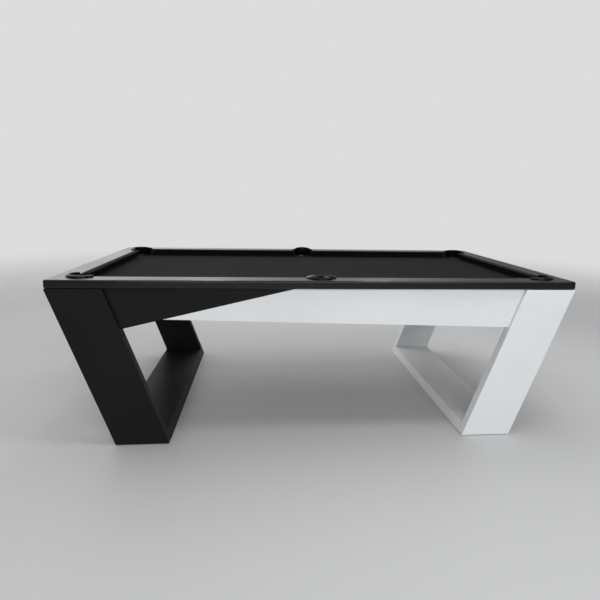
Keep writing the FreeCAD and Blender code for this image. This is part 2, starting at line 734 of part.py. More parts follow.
def white_apron(sign_y):
    """The long board from the wedge to the right leg, deeper towards the leg."""
    tip = wedge_bottom_x(APRON_TIP_DEPTH)
    outline = [
        (-WEDGE_END + BOARD_JOINT, RAIL_BOTTOM),
        (leg_inner(RAIL_BOTTOM) - BOARD_JOINT, RAIL_BOTTOM),
        (leg_inner(APRON_BOTTOM) - BOARD_JOINT, APRON_BOTTOM),
        (tip + BOARD_JOINT, RAIL_BOTTOM - APRON_TIP_DEPTH),
    ]
    return mirrored(side_prism(outline, LEG_INNER_Y, APRON_OUTER_Y), 1, sign_y)


def end_apron(sign_x):
    """The slanted board between two posts, under an end rail, notched for the corner plates."""
    outline = [
        (end_apron_inner(LEG_TOP) + END_APRON_THICK, LEG_TOP),
        (end_apron_inner(LEG_TOP), LEG_TOP),
        (end_apron_inner(APRON_BOTTOM), APRON_BOTTOM),
        (end_apron_inner(APRON_BOTTOM) + END_APRON_THICK, APRON_BOTTOM),
    ]
    board = side_prism(outline, -LEG_INNER_Y, LEG_INNER_Y)
    return mirrored(board, sign_x, 1).cut(corner_plates())


# ---------------------------------------------------------------- support frame


def cross_beams():
    """Beams across the table under the joints between the slates."""
    half = CROSS_BEAM_WIDTH / 2
    beams = []
    for sign_x in ENDS.values():
        middle = sign_x * SLATE_LENGTH / 2
        beam = box(middle - half, middle + half, -LEG_INNER_Y, LEG_INNER_Y, CROSS_BEAM_BOTTOM,
                   SLATE_BOTTOM)
        beams.append(beam.cut(slate_screws()))
    return beams


def long_beams(bolts):
    """Beams along the table, notched where the cross beams pass over them."""
    beams = []
    for sign_y in SIDES.values():
        beam = box(-TOP_BEAM_INNER, TOP_BEAM_INNER, sign_y * LONG_BEAM_INNER,
                   sign_y * LONG_BEAM_OUTER, BEAM_BOTTOM, SLATE_BOTTOM)
        beams.append(beam.cut(cross_beams()).cut(bolts))
    return beams


def bracket_corners():
    """Corners of the frame that hold a bracket, with the ways its two legs run from there."""
    corners = []
    for sx, sy in CORNERS.values():
        corners.append((sx * TOP_BEAM_OUTER, sy * LEG_INNER_Y, sx, -sy))
        corners.append((sx * TOP_BEAM_INNER, sy * LONG_BEAM_INNER, -sx, -sy))
    return corners


def frame_brackets(bolts):
    z0, z1 = BEAM_MIDDLE - BRACKET_HEIGHT / 2, BEAM_MIDDLE + BRACKET_HEIGHT / 2
    brackets = []
    for x, y, way_x, way_y in bracket_corners():
        leg_x = box(x, x + way_x * BRACKET_LEG, y, y + way_y * BRACKET_THICK, z0, z1)
        leg_y = box(x, x + way_x * BRACKET_THICK, y, y + way_y * BRACKET_LEG, z0, z1)
        brackets.append(fused([leg_x, leg_y]).cut(bolts))
    return brackets


def frame_bolts():
    """Two bolts through each leg of every bracket."""
    bolts = []
    for x, y, way_x, way_y in bracket_corners():
        for rise in (-BRACKET_BOLT_RISE, BRACKET_BOLT_RISE):
            z = BEAM_MIDDLE + rise
            on_leg_x = V(x + way_x * BRACKET_BOLT_OUT, y + way_y * BRACKET_THICK, z)
            on_leg_y = V(x + way_x * BRACKET_THICK, y + way_y * BRACKET_BOLT_OUT, z)
            for seat, direction in ((on_leg_x, V(0, -way_y, 0)), (on_leg_y, V(-way_x, 0, 0))):
                bolts.append(hex_bolt(seat, direction, FRAME_BOLT_R, FRAME_BOLT_LENGTH,
                                      FRAME_BOLT_HEAD, FRAME_BOLT_HEAD_HEIGHT))
    return bolts


def corner_plates():
    """Steel angle plates let into the posts and end aprons, which carry the rails' corners."""
    far_x = HALF_L - PLATE_INSET
    far_y = HALF_W - PLATE_INSET
    z0 = RAIL_BOTTOM - PLATE_THICK
    along_x = box(leg_inner(LEG_TOP) + PLATE_MARGIN, far_x, far_y - PLATE_ARM_WIDTH, far_y, z0,
                  RAIL_BOTTOM)
    along_y = box(far_x - PLATE_ARM_WIDTH, far_x, far_y - LEG_WIDTH + PLATE_MARGIN, far_y, z0,
                  RAIL_BOTTOM)
    plate = fused([along_x, along_y])
    return [mirrored(plate, sx, sy) for sx, sy in CORNERS.values()]


def build():
    """Every node's name and shape; a list becomes one node of separate solids."""
    nodes = {"bed_cloth": bed_cloth()}
    for place, slate in zip(("left", "middle", "right"), slates()):
        nodes[f"slate_{place}"] = slate
    ring = rail_ring().cut(rail_bolts())
    bolts = frame_bolts()
    for place, (sx, sy) in CORNERS.items():
        nodes[f"rail_{place}"] = side_rail(ring, sx, sy)
        nodes[f"cushion_{place}"] = mirrored(side_bar(side_outline(FACING_THICK)), sx, sy)
        nodes[f"pocket_trim_{place}"] = corner_trim(sx, sy)
        nodes[f"basket_{place}"] = corner_basket(sx, sy)
        nodes[f"post_{place}"] = post(sx, sy, bolts)
        nodes[f"foot_pad_{place}"] = foot_pad(sx * FOOT_X, sy * FOOT_Y)
        nodes[f"foot_stem_{place}"] = foot_stem(sx * FOOT_X, sy * FOOT_Y)
    for place, sx in ENDS.items():
        nodes[f"rail_end_{place}"] = end_rail(ring, sx)
        nodes[f"cushion_end_{place}"] = mirrored(end_bar(end_outline(FACING_THICK)), sx, 1)
        nodes[f"end_apron_{place}"] = end_apron(sx)
        nodes[f"foot_beam_{place}"] = foot_beam(sx)
    for place, sy in SIDES.items():
        nodes[f"pocket_trim_{place}_middle"] = side_trim(sy)
        nodes[f"basket_{place}_middle"] = side_basket(sy)
        nodes[f"black_apron_{place}"] = black_apron(sy)
        nodes[f"white_apron_{place}"] = white_apron(sy)
    nodes["top_beams"] = [top_beam(sx, bolts + slate_screws()) for sx in ENDS.values()]
    nodes["long_beams"] = long_beams(bolts)
    nodes["cross_beams"] = cross_beams()
    nodes["pocket_facings"] = facings()
    nodes["feather_strips"] = feather_strips()
    nodes["corner_plates"] = corner_plates()
    nodes["frame_brackets"] = frame_brackets(bolts)
    nodes["frame_bolts"] = bolts
    nodes["rail_bolts"] = rail_bolts()
    nodes["slate_screws"] = slate_screws()
    nodes["basket_screws"] = basket_screws()
    nodes["levelling_inserts"] = levelling_inserts()
    return nodes


def main():
    os.makedirs("parts", exist_ok=True)
    for name, shape in build().items():
        if isinstance(shape, list):
            shape = Part.makeCompound(shape)
        shape.exportStep(f"parts/{name}.step")
        print(name, len(shape.Solids), "solids", round(shape.Volume / 1e6, 3), "litres")


main()
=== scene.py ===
import json
import math

import bmesh
import bpy
from mathutils import Matrix, Vector


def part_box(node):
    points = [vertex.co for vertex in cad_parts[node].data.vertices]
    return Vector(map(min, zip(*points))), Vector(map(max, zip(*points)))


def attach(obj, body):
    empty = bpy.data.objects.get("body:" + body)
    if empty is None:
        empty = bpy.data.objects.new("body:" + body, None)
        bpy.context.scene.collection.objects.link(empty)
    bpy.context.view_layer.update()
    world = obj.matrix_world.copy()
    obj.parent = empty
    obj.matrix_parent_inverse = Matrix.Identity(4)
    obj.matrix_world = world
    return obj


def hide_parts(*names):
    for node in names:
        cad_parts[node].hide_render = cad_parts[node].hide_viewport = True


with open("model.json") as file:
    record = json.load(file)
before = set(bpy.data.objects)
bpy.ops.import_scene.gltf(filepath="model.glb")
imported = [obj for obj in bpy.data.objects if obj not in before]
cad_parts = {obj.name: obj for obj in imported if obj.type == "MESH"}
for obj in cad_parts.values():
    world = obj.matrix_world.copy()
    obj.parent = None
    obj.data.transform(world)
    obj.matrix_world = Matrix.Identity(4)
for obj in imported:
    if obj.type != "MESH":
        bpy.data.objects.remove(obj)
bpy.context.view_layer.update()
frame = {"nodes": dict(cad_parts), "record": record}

MM = 0.001

# Sizes of the frame that the soft pieces follow, in metres.
RAIL_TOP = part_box("rail_end_left")[1].z
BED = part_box("bed_cloth")[1].z
SLATE_HALF_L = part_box("bed_cloth")[1].x
SLATE_HALF_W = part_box("bed_cloth")[1].y
RAIL_INNER_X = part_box("cushion_end_right")[1].x
NOSE_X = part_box("cushion_end_right")[0].x
RAIL_INNER_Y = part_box("cushion_rear_right")[1].y
NOSE_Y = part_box("cushion_rear_right")[0].y
CUSHION_DEPTH = RAIL_INNER_X - NOSE_X

CORNERS = {"front_left": (-1, -1), "front_right": (1, -1), "rear_left": (-1, 1), "rear_right": (1, 1)}
SIDES = {"front": -1, "rear": 1}
ENDS = {"left": -1, "right": 1}


# ---------------------------------------------------------------- pockets' places

CORNER_CUT = 58 * MM
CORNER_FLANGE = 72 * MM
CORNER_RIDGE = 12 * MM
CORNER_OUT = 6 * MM
SIDE_CUT = 60 * MM
SIDE_FLANGE = 76 * MM
SIDE_RIDGE = 20 * MM
SIDE_OUT = 19.5 * MM
CORNER_X = NOSE_X + CORNER_OUT
CORNER_Y = NOSE_Y + CORNER_OUT
SIDE_Y = NOSE_Y + SIDE_OUT


# ---------------------------------------------------------------- mesh helpers


def new_object(name, mesh, smooth_angle=None):
    piece = bpy.data.objects.new(name, mesh)
    bpy.context.scene.collection.objects.link(piece)
    if smooth_angle is not None:
        mesh.polygons.foreach_set("use_smooth", [True] * len(mesh.polygons))
        mesh.set_sharp_from_angle(angle=math.radians(smooth_angle))
    return piece


def mesh_from(name, points, faces):
    mesh = bpy.data.meshes.new(name)
    mesh.from_pydata([tuple(p) for p in points], [], faces)
    mesh.validate()
    return mesh


def outward(mesh):
    """Turn every face of a closed mesh outward."""
    work = bmesh.new()
    work.from_mesh(mesh)
    bmesh.ops.recalc_face_normals(work, faces=work.faces)
    work.to_mesh(mesh)
    work.free()
    return mesh


def lofted(name, rings, smooth_angle=40):
    """A closed solid through rings of the same number of points, capped at both ends."""
    count = len(rings[0])
    points = [p for ring in rings for p in ring]
    faces = []
    for k in range(len(rings) - 1):
        for j in range(count):
            a = k * count + j
            b = k * count + (j + 1) % count
            faces.append((a, b, b + count, a + count))
    faces.append(tuple(range(count)))
    faces.append(tuple(range(len(points) - count, len(points))))
    return new_object(name, outward(mesh_from(name, points, faces)), smooth_angle)


# ---------------------------------------------------------------- material helpers


class Shader:
    """One material: its Principled shader and the nodes that feed it."""

    def __init__(self, name, color, roughness, **sockets):
        self.material = bpy.data.materials.new(name)
        self.material.use_nodes = True
        self.tree = self.material.node_tree
        self.surface = self.tree.nodes["Principled BSDF"]
        self.surface.inputs["Base Color"].default_value = (*color, 1)
        self.surface.inputs["Roughness"].default_value = roughness
        for socket, value in sockets.items():
            self.surface.inputs[socket.replace("_", " ")].default_value = value
        self.place = self.node("ShaderNodeTexCoord").outputs["Object"]

    def node(self, kind, **settings):
        made = self.tree.nodes.new(kind)
        for key, value in settings.items():
            setattr(made, key, value)
        return made

    def join(self, source, target):
        self.tree.links.new(source, target)

    def stretched(self, scale):
        """The object's own coordinates, scaled by a triple."""
        mapping = self.node("ShaderNodeMapping")
        mapping.inputs["Scale"].default_value = scale
        self.join(self.place, mapping.inputs["Vector"])
        return mapping.outputs["Vector"]

    def noise(self, scale, detail=3.0, roughness=0.5, at=None, distortion=0.0):
        made = self.node("ShaderNodeTexNoise")
        made.inputs["Scale"].default_value = scale
        made.inputs["Detail"].default_value = detail
        made.inputs["Roughness"].default_value = roughness
        made.inputs["Distortion"].default_value = distortion
        self.join(at or self.place, made.inputs["Vector"])
        return made.outputs["Fac"]

    def wave(self, scale, direction, at=None, distortion=0.0):
        made = self.node("ShaderNodeTexWave", bands_direction=direction)
        made.inputs["Scale"].default_value = scale
        made.inputs["Distortion"].default_value = distortion
        self.join(at or self.place, made.inputs["Vector"])
        return made.outputs["Fac"]

    def ramp(self, factor, stops):
        made = self.node("ShaderNodeValToRGB")
        made.color_ramp.elements[0].position = stops[0][0]
        made.color_ramp.elements[1].position = stops[-1][0]
        for position, _ in stops[1:-1]:
            made.color_ramp.elements.new(position)
        for element, (_, color) in zip(made.color_ramp.elements, stops):
            element.color = (*color, 1) if isinstance(color, tuple) else (color, color, color, 1)
        self.join(factor, made.inputs["Fac"])
        return made.outputs["Color"]

    def levels(self, factor, low, high, start=0.3, end=0.7):
        """A number from low to high as factor goes from start to end."""
        made = self.node("ShaderNodeMapRange")
        for socket, value in (("From Min", start), ("From Max", end), ("To Min", low), ("To Max", high)):
            made.inputs[socket].default_value = value
        self.join(factor, made.inputs["Value"])
        return made.outputs["Result"]

    def math(self, operation, a, b):
        made = self.node("ShaderNodeMath", operation=operation)
        for socket, value in zip(made.inputs, (a, b)):
            if isinstance(value, (int, float)):
                socket.default_value = value
            else:
                self.join(value, socket)
        return made.outputs["Value"]

    def color(self, output):
        self.join(output, self.surface.inputs["Base Color"])

    def rough(self, output):
        self.join(output, self.surface.inputs["Roughness"])

    def bump(self, *layers):
        """Bumps one on another, each given as (height output, strength, depth in metres)."""
        below = None
        for height, strength, depth in layers:
            made = self.node("ShaderNodeBump")
            made.inputs["Strength"].default_value = strength
            made.inputs["Distance"].default_value = depth
            self.join(height, made.inputs["Height"])
            if below is not None:
                self.join(below, made.inputs["Normal"])
            below = made.outputs["Normal"]
        self.join(below, self.surface.inputs["Normal"])


# ---------------------------------------------------------------- materials


def rail_lacquer(name, along):
    """Black satin lacquer over wood; the grain just telegraphs through, along X or Y."""
    m = Shader(name, (0.005, 0.005, 0.005), 0.2, Specular_IOR_Level=0.38)
    scale = (2.0, 55.0, 55.0) if along == "X" else (55.0, 2.0, 55.0)
    grain = m.noise(4.0, 6.0, 0.6, m.stretched(scale), 0.3)
    cloudy = m.noise(2.4, 3.0)
    peel = m.noise(420.0, 2.0)
    specks = m.noise(1900.0, 1.0)
    m.color(m.ramp(cloudy, [(0.3, (0.0036, 0.0036, 0.0038)), (0.7, (0.0062, 0.0061, 0.0062))]))
    worn = m.levels(cloudy, 0.16, 0.24)
    m.rough(m.math("ADD", worn, m.levels(specks, 0.0, 0.06, 0.62, 0.75)))
    m.bump((peel, 0.05, 0.0006), (grain, 0.06, 0.0004))
    return m.material


def spray_paint(name, dark, light, roughness, gloss, peel_strength):
    """Sprayed satin paint on board: soft tone changes, orange peel and a little dust."""
    m = Shader(name, light, roughness, Specular_IOR_Level=gloss)
    cloudy = m.noise(1.7, 4.0, 0.55)
    peel = m.noise(260.0, 2.5)
    dust = m.noise(1400.0, 1.0)
    m.color(m.ramp(cloudy, [(0.28, dark), (0.72, light)]))
    tone = m.levels(cloudy, roughness - 0.04, roughness + 0.05)
    m.rough(m.math("ADD", tone, m.levels(dust, 0.0, 0.08, 0.6, 0.75)))
    m.bump((peel, peel_strength, 0.0008), (dust, 0.03, 0.0002))
    return m.material


def billiard_cloth():
    """Worsted cloth: fine twill threads, a short nap and faint streaks along the table."""
    m = Shader("billiard_cloth", (0.01, 0.01, 0.0108), 0.9, Specular_IOR_Level=0.11)
    warp = m.wave(900.0, "X", distortion=0.6)
    weft = m.wave(900.0, "Y", distortion=0.6)
    weave = m.math("MULTIPLY", warp, weft)
    nap = m.noise(1300.0, 2.0, 0.6)
    mottle = m.noise(26.0, 5.0, 0.6)
    streaks = m.noise(3.0, 4.0, 0.6, m.stretched((0.6, 9.0, 1.0)))
    mixed = m.math("ADD", m.math("MULTIPLY", mottle, 0.5), m.math("MULTIPLY", streaks, 0.5))
    fine = m.math("ADD", m.math("MULTIPLY", nap, 0.3), m.math("MULTIPLY", mixed, 0.7))
    m.color(m.ramp(fine, [(0.33, (0.0054, 0.0054, 0.006)), (0.5, (0.0078, 0.0078, 0.0086)),
                          (0.68, (0.0115, 0.0115, 0.0126))]))
    m.rough(m.levels(mixed, 0.84, 0.96))
    m.bump((weave, 0.35, 0.0003), (nap, 0.25, 0.0003))
    return m.material


def pocket_rubber():
    """Glossy moulded rubber with a faint mould texture and rubbed patches."""
    m = Shader("pocket_rubber", (0.003, 0.003, 0.003), 0.2, Specular_IOR_Level=0.25)
    grain = m.noise(700.0, 3.0, 0.6)
    rub = m.noise(38.0, 4.0, 0.6)
    m.color(m.ramp(rub, [(0.3, (0.002, 0.002, 0.002)), (0.75, (0.004, 0.0039, 0.0038))]))
    m.rough(m.levels(rub, 0.14, 0.24))
    m.bump((grain, 0.1, 0.0003), (rub, 0.08, 0.0008))
    return m.material


def moulded_plastic(name, color, roughness):
    m = Shader(name, color, roughness)
    grain = m.noise(900.0, 2.0, 0.7)
    cloudy = m.noise(20.0, 3.0)
    lighter = tuple(1.5 * c for c in color)
    m.color(m.ramp(cloudy, [(0.3, color), (0.75, lighter)]))
    m.rough(m.levels(cloudy, roughness - 0.05, roughness + 0.07))
    m.bump((grain, 0.25, 0.0003),)
    return m.material


def slate_stone():
    m = Shader("ground_slate", (0.16, 0.17, 0.18), 0.7)
    layers = m.noise(9.0, 6.0, 0.65, m.stretched((1.0, 1.0, 12.0)))
    grit = m.noise(600.0, 3.0, 0.7)
    m.color(m.ramp(layers, [(0.3, (0.10, 0.108, 0.12)), (0.52, (0.16, 0.168, 0.18)),
                            (0.72, (0.23, 0.235, 0.24))]))
    m.rough(m.levels(grit, 0.62, 0.8))
    m.bump((layers, 0.2, 0.001), (grit, 0.3, 0.0003))
    return m.material


def sawn_timber(name, along):
    """Softwood beam with growth rings stretched along X or Y, and sawn fuzz."""
    m = Shader(name, (0.55, 0.40, 0.23), 0.6)
    scale = (1.0, 14.0, 14.0) if along == "X" else (14.0, 1.0, 14.0)
    rings = m.noise(1.6, 5.0, 0.55, m.stretched(scale), 1.2)
    fibre = m.noise(30.0, 4.0, 0.7, m.stretched(scale))
    m.color(m.ramp(rings, [(0.3, (0.36, 0.235, 0.12)), (0.46, (0.52, 0.37, 0.21)),
                           (0.62, (0.60, 0.45, 0.27)), (0.74, (0.46, 0.31, 0.17))]))
    m.rough(m.levels(fibre, 0.52, 0.72))
    m.bump((rings, 0.15, 0.001), (fibre, 0.3, 0.0004))
    return m.material


def zinc_steel():
    m = Shader("zinc_steel", (0.58, 0.58, 0.56), 0.34, Metallic=1.0)
    spangle = m.noise(60.0, 4.0, 0.6)
    scratches = m.noise(200.0, 3.0, 0.7, m.stretched((1.0, 8.0, 1.0)))
    m.color(m.ramp(spangle, [(0.3, (0.47, 0.475, 0.47)), (0.7, (0.64, 0.635, 0.60))]))
    m.rough(m.levels(spangle, 0.26, 0.46))
    m.bump((scratches, 0.08, 0.0002),)
    return m.material


def make_materials():
    return {
        "rail_x": rail_lacquer("rail_lacquer_x", "X"),
        "rail_y": rail_lacquer("rail_lacquer_y", "Y"),
        "black_paint": spray_paint("black_paint", (0.0074, 0.0075, 0.0075), (0.0098, 0.0099, 0.0099),
                                   0.42, 0.12, 0.06),
        "white_paint": spray_paint("white_paint", (0.765, 0.788, 0.806), (0.808, 0.828, 0.845), 0.36, 0.5,
                                   0.05),
        "cloth": billiard_cloth(),
        "pocket_rubber": pocket_rubber(),
        "facing_rubber": moulded_plastic("facing_rubber", (0.01, 0.01, 0.01), 0.75),
        "basket_plastic": moulded_plastic("basket_plastic", (0.009, 0.009, 0.0095), 0.5),
        "foot_plastic": moulded_plastic("foot_plastic", (0.022, 0.022, 0.023), 0.45),
        "slate": slate_stone(),
        "timber_x": sawn_timber("sawn_timber_x", "X"),
        "timber_y": sawn_timber("sawn_timber_y", "Y"),
        "zinc_steel": zinc_steel(),
    }


SLOT_MATERIALS = {
    "rail_lacquer": "rail_x",
    "cushion_cloth": "cloth",
    "frame_timber": "timber_y",
}
NODE_MATERIALS = {
    "rail_end_left": "rail_y",
    "rail_end_right": "rail_y",
    "long_beams": "timber_x",
}


def finish_cad_nodes(materials):
    """Give every CAD node the procedural material of its slot."""
    for row in frame["record"]["subparts"]:
        name, slot = row["node"], row["material_slot"]
        chosen = NODE_MATERIALS.get(name, SLOT_MATERIALS.get(slot, slot))
        node = frame["nodes"][name]
        node.data.materials.clear()
        node.data.materials.append(materials[chosen])


# ---------------------------------------------------------------- bed cloth


def arc(x, y, radius, start, end, steps):
    """Points round a centre, from one angle to another in degrees."""
    turns = [math.radians(start + (end - start) * k / steps) for k in range(steps + 1)]
    return [(x + radius * math.cos(t), y + radius * math.sin(t)) for t in turns]


def cloth_outline(radius_less, grow):
    """Plan of the cloth, anticlockwise: the slates' outline with pocket notches.

    Each notch is radius_less smaller than the pocket, and the outer edges grow outward.
    """
    corner_r = CORNER_CUT - radius_less
    side_r = SIDE_CUT - radius_less
    half_l = SLATE_HALF_L + grow
    half_w = SLATE_HALF_W + grow

    def corner(sign_x, sign_y, start):
        x, y = sign_x * CORNER_X, sign_y * CORNER_Y
        points = arc(x, y, corner_r, start, start - 180, 24)
        first, last = points[0], points[-1]
        out = Vector((sign_x, sign_y)).normalized()
        before = edge_point(first, out, half_l, half_w)
        after = edge_point(last, out, half_l, half_w)
        return [before] + points + [after]

    def side(sign_y, start):
        points = arc(0, sign_y * SIDE_Y, side_r, start, start - 180, 24)
        edge_y = sign_y * half_w
        return [(points[0][0], edge_y)] + points + [(points[-1][0], edge_y)]

    return (
        side(-1, 180) + corner(1, -1, 225) + corner(1, 1, 315)
        + side(1, 0) + corner(-1, 1, 45) + corner(-1, -1, 135)
    )


def edge_point(point, out, half_l, half_w):
    """Where a ray from point along out meets the slates' outer edge."""
    reach_x = (math.copysign(half_l, out.x) - point[0]) / out.x
    reach_y = (math.copysign(half_w, out.y) - point[1]) / out.y
    reach = min(reach_x, reach_y)
    return (point[0] + reach * out.x, point[1] + reach * out.y)


CLOTH_WALL = 3 * MM  # the basket's rim, which the cloth covers
CLOTH_TURN = 0.6 * MM
CLOTH_SKIRT = 12 * MM


def bed_cloth(materials):
    """The bed cloth: flat over the slates, turned down over their edges and into the pockets."""
    steps = [
        (CLOTH_WALL, 0.0, 0.0),
        (CLOTH_WALL + CLOTH_TURN, CLOTH_TURN, CLOTH_TURN),
        (CLOTH_WALL + 1.5 * CLOTH_TURN, 1.5 * CLOTH_TURN, CLOTH_SKIRT),
    ]
    rings = []
    for less, grow, drop in steps:
        rings.append([(x, y, BED - drop) for x, y in cloth_outline(less, grow)])
    count = len(rings[0])
    points = [p for ring in rings for p in ring]
    faces = [tuple(range(count))]
    for k in range(len(rings) - 1):
        for j in range(count):
            a, b = k * count + j, k * count + (j + 1) % count
            faces.append((a, a + count, b + count, b))
    mesh = mesh_from("bed_cloth_sheet", points, faces)
    work = bmesh.new()
    work.from_mesh(mesh)
    bmesh.ops.triangulate(work, faces=[f for f in work.faces if len(f.verts) > 4])
    work.to_mesh(mesh)
    work.free()
    piece = new_object("bed_cloth_sheet", mesh, 30)
    piece.data.materials.append(materials["cloth"])
    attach(piece, "root")
    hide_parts("bed_cloth")
    return piece


# ---------------------------------------------------------------- cushions

CLOTH_THICK = 0.8 * MM
NOSE_HEIGHT = 36.5 * MM
NOSE_RADIUS = 2.6 * MM
CUSHION_TOP = RAIL_TOP - 0.3 * MM
CUSHION_FOOT = BED + 0.2 * MM
HEEL_DEPTH = 24 * MM
FACING_GAP = 1 * MM
CORNER_TURN = math.radians(38)
SIDE_TURN = math.radians(76)
HEEL_HOLLOW = 0.9 * MM  # how far the cloth sinks between heel and nose
TOP_CROWN = 0.35 * MM  # how far it swells between nose and rail
NOSE_ARC = (245, 90)  # degrees round the nose, from its underside to its top
NOSE_STEPS = 8
SLOPE_STEPS = 7
CUSHION_STEPS = 48
END_ROUND = 2.5 * MM
# The rings that round off an end, outermost first: the share of END_ROUND by which each is drawn
# in toward the middle of the section, and the share by which it stands back along the cushion.
END_RINGS = [(1.0, 0.0), (0.3, 0.3), (0.0, 1.0)]


def cushion_section():
    """Points (depth from the nose, height) round a covered cushion, from heel to back."""
    nose = BED + NOSE_HEIGHT
    section = [(CUSHION_DEPTH, CUSHION_FOOT), (HEEL_DEPTH, CUSHION_FOOT)]
    under = Vector((NOSE_RADIUS * 0.9, nose - NOSE_RADIUS * 1.1))
    heel = Vector((HEEL_DEPTH, CUSHION_FOOT))
    for k in range(1, SLOPE_STEPS):
        along = heel.lerp(under, k / SLOPE_STEPS)
        hollow = HEEL_HOLLOW * math.sin(math.pi * k / SLOPE_STEPS)
        section.append((along.x + hollow, along.y))
    section += arc(NOSE_RADIUS - CLOTH_THICK, nose, NOSE_RADIUS, *NOSE_ARC, NOSE_STEPS)
    over = Vector(section[-1])
    back = Vector((CUSHION_DEPTH - 1.5 * MM, CUSHION_TOP))
    for k in range(1, SLOPE_STEPS):
        along = over.lerp(back, k / (SLOPE_STEPS - 1))
        crown = TOP_CROWN * math.sin(math.pi * k / (SLOPE_STEPS - 1))
        section.append((along.x, along.y + crown))
    section.append((CUSHION_DEPTH - 0.4 * MM, CUSHION_TOP - 0.9 * MM))
    section.append((CUSHION_DEPTH, CUSHION_TOP - 3 * MM))
    return section


def pocket_reach(cut, out):
    return math.sqrt(cut ** 2 - (CUSHION_DEPTH - out) ** 2)


def cushion(name, node, ends, place, materials):
    """One covered cushion: ends gives, for each end, where its back ends and how far the nose
    falls short per depth; place turns (along, depth, height) into a point of the table."""
    section = cushion_section()
    middle = (sum(p[0] for p in section) / len(section), sum(p[1] for p in section) / len(section))
    (back_a, slope_a), (back_b, slope_b) = ends
    stations = [(0, tuck, back) for tuck, back in END_RINGS]
    stations += [(k / CUSHION_STEPS, 0, 1) for k in range(1, CUSHION_STEPS)]
    stations += [(1, tuck, back) for tuck, back in reversed(END_RINGS)]
    rings = []
    for share, tuck, slide in stations:
        ring = []
        for depth, height in section:
            inward = Vector((middle[0] - depth, middle[1] - height))
            inward = inward.normalized() * min(END_ROUND * tuck, inward.length * 0.5)
            d, z = depth + inward.x, height + inward.y
            a = back_a + slope_a * (CUSHION_DEPTH - d) + END_ROUND * slide
            b = back_b - slope_b * (CUSHION_DEPTH - d) - END_ROUND * slide
            ring.append(place(a + (b - a) * share, d, z))
        rings.append(ring)
    piece = lofted(name, rings, 50)
    piece.data.materials.append(materials["cloth"])
    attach(piece, "root")
    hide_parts(node)
    return piece


def cushions(materials):
    corner = pocket_reach(CORNER_CUT, CORNER_OUT) + FACING_GAP
    side = pocket_reach(SIDE_CUT, SIDE_OUT) + FACING_GAP
    corner_slope = 1 / math.tan(CORNER_TURN)
    side_slope = 1 / math.tan(SIDE_TURN)
    for place_name, (sx, sy) in CORNERS.items():
        ends = [(side, side_slope), (CORNER_X - corner, corner_slope)]
        cushion(f"cloth_cushion_{place_name}", f"cushion_{place_name}", ends,
                lambda u, d, z, sx=sx, sy=sy: (sx * u, sy * (NOSE_Y + d), z), materials)
    for place_name, sx in ENDS.items():
        reach = CORNER_Y - corner
        ends = [(-reach, corner_slope), (reach, corner_slope)]
        cushion(f"cloth_cushion_end_{place_name}", f"cushion_end_{place_name}", ends,
                lambda u, d, z, sx=sx: (sx * (NOSE_X + d), u, z), materials)


# ---------------------------------------------------------------- pocket trims

TRIM_WALL = 4 * MM
LIP_R = 5 * MM  # radius of the rounded lip round the hole
RIM_EDGE = 6 * MM  # height of the rim's outer edge on the rail
RIM_ROUND = 2 * MM
LOW_RIDGE = 8 * MM  # height of the lip at the trim's two ends
TRIM_DROP = 38 * MM
TRIM_SWELL = 1.1 * MM  # how far the slope from lip to edge bulges
TRIM_LEAD = 0.8 * MM  # bevel round the foot of the sleeve
TRIM_LEAD_HEIGHT = 2 * MM
TRIM_STEPS = 72
LIP_ARC = (180, 50)  # degrees over the lip, from the hole's side to the slope
LIP_STEPS = 7
SWELL_STEPS = 6
EDGE_ARC = (80, 0)  # degrees over the rim's outer edge, from the slope to its side
EDGE_STEPS = 4


def trim_section(cut, flange, ridge):
    """Points (radius, height above the rail) round a trim whose lip stands ridge high.

    A sleeve lines the wood; over it the rubber swells from a rounded outer edge to the lip.
    """
    inner = cut - TRIM_WALL
    crest = ridge - LIP_R
    points = [(inner + TRIM_LEAD, -TRIM_DROP), (inner, TRIM_LEAD_HEIGHT - TRIM_DROP)]
    points.append((inner, 0.3 * crest))
    points += arc(inner + LIP_R, crest, LIP_R, *LIP_ARC, LIP_STEPS)
    lip = Vector(points[-1])
    edge = Vector((flange - RIM_ROUND, RIM_EDGE))
    for k in range(1, SWELL_STEPS):
        along = lip.lerp(edge, k / SWELL_STEPS)
        swell = TRIM_SWELL * math.sin(math.pi * k / SWELL_STEPS)
        points.append((along.x, along.y + swell))
    points += arc(flange - RIM_ROUND, RIM_EDGE - RIM_ROUND, RIM_ROUND, *EDGE_ARC, EDGE_STEPS)
    points.append((flange, 0.0))
    points.append((cut, 0.0))
    points.append((cut, -TRIM_DROP))
    return points


def pocket_trim(name, node, x, y, facing, sweep, cut, flange, ridge, materials):
    """A trim whose rim is highest at the back and runs down to its two open ends."""
    rings = []
    for k in range(TRIM_STEPS + 1):
        share = k / TRIM_STEPS
        turn = math.radians(facing - sweep / 2 + sweep * share)
        rise = math.sin(math.pi * share) ** 0.8
        height = LOW_RIDGE + (ridge - LOW_RIDGE) * rise
        ring = []
        for radius, z in trim_section(cut, flange, height):
            ring.append((x + radius * math.cos(turn), y + radius * math.sin(turn), RAIL_TOP + z))
        rings.append(ring)
    piece = lofted(name, rings, 45)
    bevel = piece.modifiers.new("soft_ends", "BEVEL")
    bevel.width = 1.2 * MM
    bevel.segments = 3
    bevel.limit_method = "ANGLE"
    bevel.angle_limit = math.radians(60)
    piece.data.materials.append(materials["pocket_rubber"])
    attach(piece, "root")
    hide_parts(node)
    return piece


